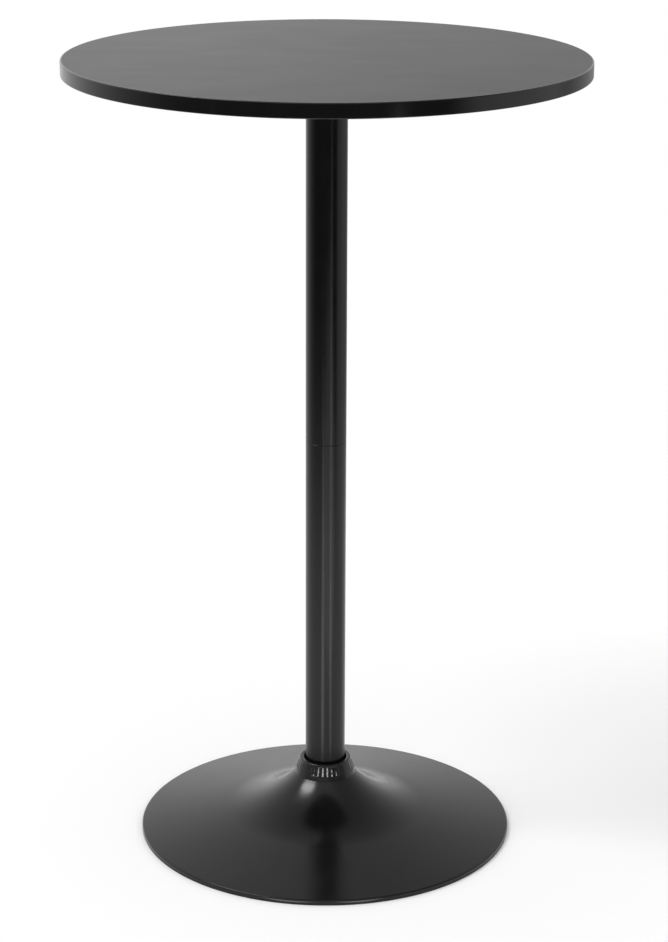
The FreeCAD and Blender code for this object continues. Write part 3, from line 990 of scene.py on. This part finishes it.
@dataclass
class Collar:
    """The moulded collar that sits on the neck, with four ribbed grip windows."""

    lip_width: float = 6.1 * MM
    lip_rounding: float = 1.8 * MM
    skirt: float = 2.2 * MM
    sleeve: float = 1.6 * MM
    windows: int = 4
    window_angle: float = math.radians(62)
    window_depth: float = 1.0 * MM
    window_foot: float = 5.5 * MM
    window_head: float = 0.7 * MM
    window_corner: float = 2.2 * MM
    window_edge: float = 0.7 * MM
    ribs: int = 6
    rib_width: float = 4.4 * MM
    rib_crest_gap: float = 0.15 * MM
    rib_lean: float = 0.45
    rib_draft: float = 0.6
    rib_margin: float = 0.5
    lip_steps: int = 9
    skirt_rows: int = 44
    segments: int = 1080

    def build(self) -> None:
        """Mould the collar as one skin whose skirt dips in at the windows."""
        maker = bmesh.new()
        painted_glint_layer = maker.verts.layers.float.new(PAINTED_GLINT_LAYER)
        angles = turn_angles(self.segments)
        rings = []
        for radius, height in self.outline().points:
            ring = []
            for angle in angles:
                pressed = self.window(radius, height, angle)
                crest = self.rib(height, angle) * pressed
                sunk = self.window_depth * pressed - (self.window_depth - self.rib_crest_gap) * crest
                point = maker.verts.new(turned_place(radius - sunk, angle, height))
                # Painted glint: only the crests in the front and back windows carry the glint mask.
                point[painted_glint_layer] = crest if self.painted_glint(angle) else 0.0
                ring.append(point)
            rings.append(ring)
        skin(maker, rings, self.segments)
        dress(finished_object("moulded_collar", maker), Body.COLLAR, GLOSS_MOULDING, "base_collar")

    @cached_property
    def size(self) -> NodeSize:
        """The collar node's measures."""
        return NodeSize.of("base_collar")

    def outline(self) -> Outline:
        """The collar's section before its windows are pressed in.

        Returns:
            The closed outline.
        """
        size = self.size
        lip = size.bore + self.lip_width
        shoulder = size.high - self.lip_rounding
        roof = size.high - self.skirt
        taper = (size.radius - lip) / (shoulder - size.low)
        roof_radius = size.radius - taper * (roof - size.low) - self.skirt
        outline = Outline(size.radius - self.skirt, size.low).line(size.radius, size.low)
        outline.line(lip, shoulder, self.skirt_rows)
        outline.arc(lip - self.lip_rounding, size.high, self.lip_rounding, Turn.LEFT, self.lip_steps)
        outline.line(size.bore + self.lip_rounding, size.high)
        outline.arc(size.bore, shoulder, self.lip_rounding, Turn.LEFT, self.lip_steps)
        outline.line(size.bore, size.low).line(size.bore + self.sleeve, size.low)
        outline.line(size.bore + self.sleeve, roof).line(roof_radius, roof)
        return outline

    def half_window(self) -> float:
        """Half of a window's width along the foot of the skirt."""
        return self.window_angle * self.size.radius / 2

    @staticmethod
    def painted_glint(angle: float) -> bool:
        """Whether an angle lies in the front or the back quarter, where the rib crests get painted glints.
        """
        return abs(math.sin(angle)) > abs(math.cos(angle))

    def off_window(self, angle: float) -> float:
        """The distance along the foot of the skirt from the middle of the nearest window."""
        spacing = FULL_TURN / self.windows
        return ((angle + spacing / 2) % spacing - spacing / 2) * self.size.radius

    def window(self, radius: float, height: float, angle: float) -> float:
        """How much of a window's depth the skirt is pressed in at a point.

        Args:
            radius: The plain outline's radius there.
            height: The point's height.
            angle: The point's angle about the column.

        Returns:
            The share of the depth, 0 away from the windows.
        """
        size = self.size
        shoulder = size.high - self.lip_rounding
        outside = radius > size.bore + self.lip_width - TOLERANCE
        if not outside or height > shoulder:
            return 0.0
        low = size.low + self.window_foot
        high = shoulder - self.window_head
        up = height - (low + high) / 2
        return self.inside_rounded_box(self.off_window(angle), up, self.half_window(), (high - low) / 2)

    def rib(self, height: float, angle: float) -> float:
        """The height of the ribs at a point, which sink towards the lip and the ends of each window.

        Args:
            height: The point's height.
            angle: The point's angle about the column.

        Returns:
            Near 1 on the crest of a middle rib at its foot, 0 between the ribs.
        """
        pitch = 2 * self.half_window() / (self.ribs + self.rib_margin)
        along = self.off_window(angle)
        shifted = along + pitch * self.ribs / 2
        nearest = min(max(math.floor(shifted / pitch), 0), self.ribs - 1)
        beside = abs(shifted - (nearest + 0.5) * pitch) / (self.rib_width / 2)
        sunk = self.rib_lean * (height - self.size.low) / self.size.height
        sunk += self.rib_draft * (along / self.half_window()) ** 2
        return max(1.0 - sunk, 0.0) * math.cos(min(beside, 1.0) * QUARTER_TURN) ** 2

    def inside_rounded_box(self, along: float, up: float, half_width: float, half_height: float) -> float:
        """A soft-edged rounded box around the window's middle.

        Args:
            along: Distance round the collar from the window's middle.
            up: Height above the window's middle.
            half_width: Half of the window's width.
            half_height: Half of its height.

        Returns:
            1 inside, 0 outside, with a smooth edge between.
        """
        past_side = abs(along) - half_width + self.window_corner
        past_end = abs(up) - half_height + self.window_corner
        outside = math.hypot(max(past_side, 0.0), max(past_end, 0.0)) - self.window_corner
        inside = min(max(past_side, past_end), 0.0)
        share = min(max(-(outside + inside) / self.window_edge, 0.0), 1.0)
        return share * share * (3.0 - 2.0 * share)


def oval_lamp(name: str, width: float, length: float, power: float) -> bpy.types.Object:
    """Make an oval area lamp.

    Args:
        name: The lamp's name.
        width: Its size along its X axis.
        length: Its size along its Y axis.
        power: Its power in watts.

    Returns:
        The lamp at the origin, linked into the scene.
    """
    light = bpy.data.lights.new(name, "AREA")
    light.shape = "ELLIPSE"
    light.size = width
    light.size_y = length
    light.energy = power
    lamp = bpy.data.objects.new(name, light)
    bpy.context.scene.collection.objects.link(lamp)
    return lamp


@dataclass(frozen=True)
class FloorGlow:
    """A patch of light on the floor, which draws a streak on the column or a line on the dish's rim."""

    name: str
    azimuth: float
    near: float
    far: float
    width: float
    radiance: float
    lift: float = 2.0 * MM

    def build(self) -> None:
        """Lay an upward-facing lamp on the floor, out of the camera's sight."""
        length = self.far - self.near
        area = math.pi / 4 * self.width * length
        lamp = oval_lamp(self.name, self.width, length, self.radiance * math.pi * area)
        middle = (self.near + self.far) / 2
        lamp.location = (middle * math.sin(self.azimuth), -middle * math.cos(self.azimuth), self.lift)
        lamp.rotation_euler = (math.pi, 0.0, self.azimuth)
        lamp.visible_camera = False


@dataclass
class Studio:
    """A white studio, dimmer overhead and on the camera's side, as the paint mirrors it."""

    floor_radius: float = 2.4
    floor_fade: float = 0.45
    floor_segments: int = 128
    floor_colour: Colour = (0.85, 0.85, 0.85)
    floor_roughness: float = 0.9
    wall: float = 1.0
    ceiling: float = 0.35
    front_wall: float = 0.5
    front_ceiling: float = 0.85
    front_floor: float = 0.06
    back_floor: float = 0.95
    right_floor: float = 0.62
    right_back_share: float = 0.45
    left_share: float = 1.15
    right_share: float = 0.83
    right_foot_share: float = 1.16
    far_left_share: float = 1.1
    front_right_share: float = 0.58
    horizon: Span = (-0.06, 0.1)
    back_rise: Span = (0.1, 1.1)
    front_rise: Span = (0.3, 0.8)
    front_to_back: Span = (-0.3, 0.25)
    left_to_right: Span = (-0.09, 0.09)
    far_left: Span = (-0.7, -0.15)
    right_foot: Span = (0.06, 0.13)
    front_right: Span = (0.1, 0.5)
    floor_depth: Span = (-0.6, 1.0)
    floor_breadth: Span = (-0.3, 0.3)
    right_floor_edge: Span = (0.78, 0.92)
    key_azimuth: float = math.radians(-79)
    key_elevation: float = math.radians(55)
    key_distance: float = 10.0
    key_tilt: float = math.radians(33)
    key_width: float = 5.4
    key_height: float = 1.7
    key_power: float = 310.0
    glows: tuple[FloorGlow, ...] = (
        FloorGlow("right_glow", math.radians(29), near=0.26, far=6.0, width=0.16, radiance=2.0),
        FloorGlow("left_glow", math.radians(-15), near=0.26, far=2.0, width=0.16, radiance=2.0),
        FloorGlow("front_glow", math.radians(19), near=0.6, far=2.9, width=1.6, radiance=0.6),
        FloorGlow("left_rim_glow", math.radians(-11.2), near=0.24, far=0.2465, width=0.084, radiance=3.2),
        FloorGlow("right_rim_glow", math.radians(10.6), near=0.24, far=0.2465, width=0.066, radiance=3.3),
    )

    def build(self) -> None:
        """Make the floor, the walls and the lamps."""
        self.build_floor()
        self.build_walls()
        self.add_key()
        for glow in self.glows:
            glow.build()

    def build_floor(self) -> None:
        """A round white floor that thins out into the white walls and is clear from below."""
        corners = [turned_place(self.floor_radius, angle, 0.0) for angle in turn_angles(self.floor_segments)]
        mesh = bpy.data.meshes.new("studio_floor")
        mesh.from_pydata(corners, [], [range(self.floor_segments)])
        floor = bpy.data.objects.new("studio_floor", mesh)
        bpy.context.scene.collection.objects.link(floor)
        graph = SurfaceGraph("white_studio_floor")
        graph.put("Base Color", (*self.floor_colour, 1.0))
        graph.put("Roughness", self.floor_roughness)
        graph.put("Specular IOR Level", 0.0)
        fade = graph.ranged(graph.reach(), (self.floor_fade, self.floor_radius), 1.0, 0.0)
        underside = graph.add("ShaderNodeNewGeometry").outputs["Backfacing"]
        upside = graph.ranged(underside, (0.0, 1.0), 1.0, 0.0)
        graph.put("Alpha", graph.joined("MULTIPLY", fade, upside))
        floor.data.materials.append(graph.material)

    def build_walls(self) -> None:
        """White all round; glossy and transmitted rays see it with its dim front and ceiling."""
        world = bpy.data.worlds.new("white_studio")
        bpy.context.scene.world = world
        world.use_nodes = True
        graph = NodeGraph(world.node_tree)
        place = graph.add("ShaderNodeTexCoord").outputs["Generated"]
        direction = graph.add("ShaderNodeSeparateXYZ", {"Vector": place})
        across, along, up = (direction.outputs[axis] for axis in "XYZ")

        left = graph.ranged(across, self.far_left, self.left_share * self.far_left_share, self.left_share)
        right = graph.ranged(up, self.right_foot, self.right_foot_share, self.right_share)
        back_sides = graph.blended(graph.ranged(across, self.left_to_right), left, right)
        plain_back = graph.ranged(up, self.back_rise, self.wall, self.ceiling)
        back = graph.joined("MULTIPLY", plain_back, back_sides)
        front_sides = graph.ranged(across, self.front_right, 1.0, self.front_right_share)
        plain_front = graph.ranged(up, self.front_rise, self.front_wall, self.front_ceiling)
        front = graph.joined("MULTIPLY", plain_front, front_sides)
        walls = graph.blended(graph.ranged(along, self.front_to_back), front, back)

        depth = graph.ranged(along, self.floor_depth, self.front_floor, self.back_floor)
        breadth = graph.ranged(across, self.floor_breadth, 1.0, self.right_back_share)
        right_patch = graph.ranged(across, self.right_floor_edge, 0.0, self.right_floor)
        far_floor = graph.joined("MAXIMUM", graph.joined("MULTIPLY", depth, breadth), right_patch)
        mirrored = graph.blended(graph.ranged(up, self.horizon), far_floor, walls)

        rays = graph.add("ShaderNodeLightPath").outputs
        mirrors = graph.joined("MAXIMUM", rays["Is Glossy Ray"], rays["Is Transmission Ray"])
        level = graph.blended(mirrors, 1.0, mirrored)
        background = graph.add("ShaderNodeBackground", {"Color": (1.0,) * 4, "Strength": level})
        graph.add("ShaderNodeOutputWorld", {"Surface": background.outputs["Background"]})

    def add_key(self) -> None:
        """A broad soft lamp at the left, tilted, aimed at the foot of the column."""
        lamp = oval_lamp("key_softbox", self.key_width, self.key_height, self.key_power)
        level = self.key_distance * math.cos(self.key_elevation)
        rise = self.key_distance * math.sin(self.key_elevation)
        lamp.location = (level * math.sin(self.key_azimuth), -level * math.cos(self.key_azimuth), rise)
        aim = (-lamp.location).to_track_quat("-Z", "Y")
        lamp.rotation_euler = (aim @ Quaternion((0.0, 0.0, 1.0), self.key_tilt)).to_euler()


@dataclass
class PhotoCamera:
    """The camera at the photograph's viewing point."""

    distance: float = 3.148
    height: float = 1.4917
    pitch: float = math.radians(17.7904)
    yaw: float = math.radians(0.184)
    roll: float = math.radians(0.2107)
    lens: float = 100.893
    sensor: float = 36.0

    def build(self) -> None:
        """Place the camera and make it the scene's own."""
        level = math.cos(self.pitch)
        forward = Vector((math.sin(self.yaw) * level, math.cos(self.yaw) * level, -math.sin(self.pitch)))
        level_right = Vector((math.cos(self.yaw), -math.sin(self.yaw), 0.0))
        level_up = level_right.cross(forward)
        right = level_right * math.cos(self.roll) + level_up * math.sin(self.roll)
        up = level_up * math.cos(self.roll) - level_right * math.sin(self.roll)
        data = bpy.data.cameras.new("photo_camera")
        data.lens = self.lens
        data.sensor_width = self.sensor
        camera = bpy.data.objects.new("photo_camera", data)
        turned = Matrix((right, up, -forward)).transposed().to_4x4()
        camera.matrix_world = Matrix.Translation((0.0, -self.distance, self.height)) @ turned
        bpy.context.scene.collection.objects.link(camera)
        bpy.context.scene.camera = camera


def main() -> None:
    """Build the table's sub-assemblies in order, then the studio round them."""
    logging.basicConfig(level=logging.INFO, format="%(name)s: %(message)s")
    bpy.context.scene.view_settings.view_transform = "Standard"
    for assembly in (Tabletop(), Mounting(), Column(), Base(), Collar(), Studio(), PhotoCamera()):
        assembly.build()


if __name__ == "__main__":
    main()
